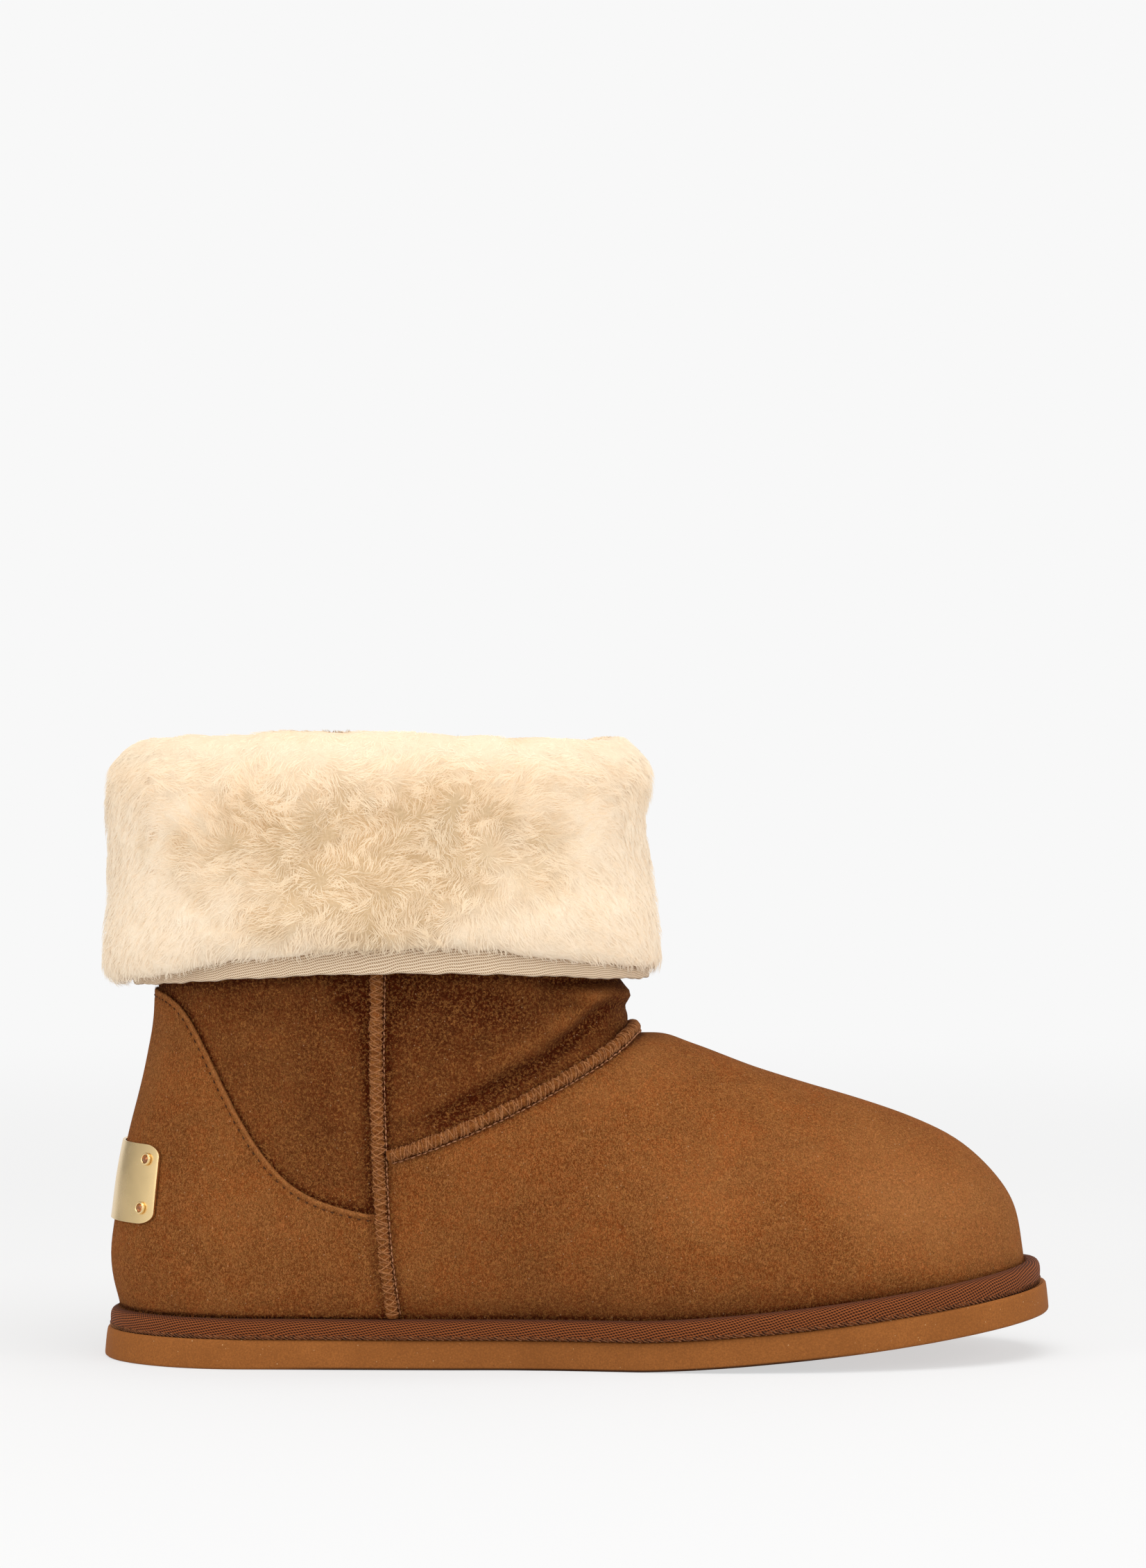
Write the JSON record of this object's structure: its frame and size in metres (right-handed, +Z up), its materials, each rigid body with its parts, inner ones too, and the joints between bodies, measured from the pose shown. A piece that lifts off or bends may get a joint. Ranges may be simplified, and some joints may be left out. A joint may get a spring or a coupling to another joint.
{
  "type": "ankle boot",
  "caption": "Pull-on sheepskin ankle boot for a right foot, suede outside and wool inside, with a turned-down wool cuff, a taped sole edge and a flat foam sole.",
  "frame": {"origin": "middle of the box's base, on the floor under the boot", "axes": "+X from heel to toe, the box's longest side; +Y to the inner (big toe) side; +Z up from the floor"},
  "size_m": [0.272, 0.1198, 0.1796],
  "materials": {
    "suede": "tan sheepskin suede with a short nap",
    "wool": "deep cream sheep's wool",
    "brown_tape": "brown herringbone twill tape",
    "beige_tape": "beige ribbed twill tape",
    "foam_rubber": "tan foamed rubber with fine specks",
    "gilt": "brushed pale gilt",
    "amber": "faceted amber glass"
  },
  "bodies": {
    "root": {"upper": "suede", "heel_counter": "suede", "side_seam_outer": "suede", "side_seam_inner": "suede", "instep_seam": "suede", "cuff": "wool", "insole": "wool", "sole_tape": "brown_tape", "cuff_binding": "beige_tape", "outsole": "foam_rubber", "heel_plate": "gilt", "bezel_1": "gilt", "bezel_2": "gilt", "bezel_3": "gilt", "bezel_4": "gilt", "stone_1": "amber", "stone_2": "amber", "stone_3": "amber", "stone_4": "amber"}
  },
  "joints": []
}
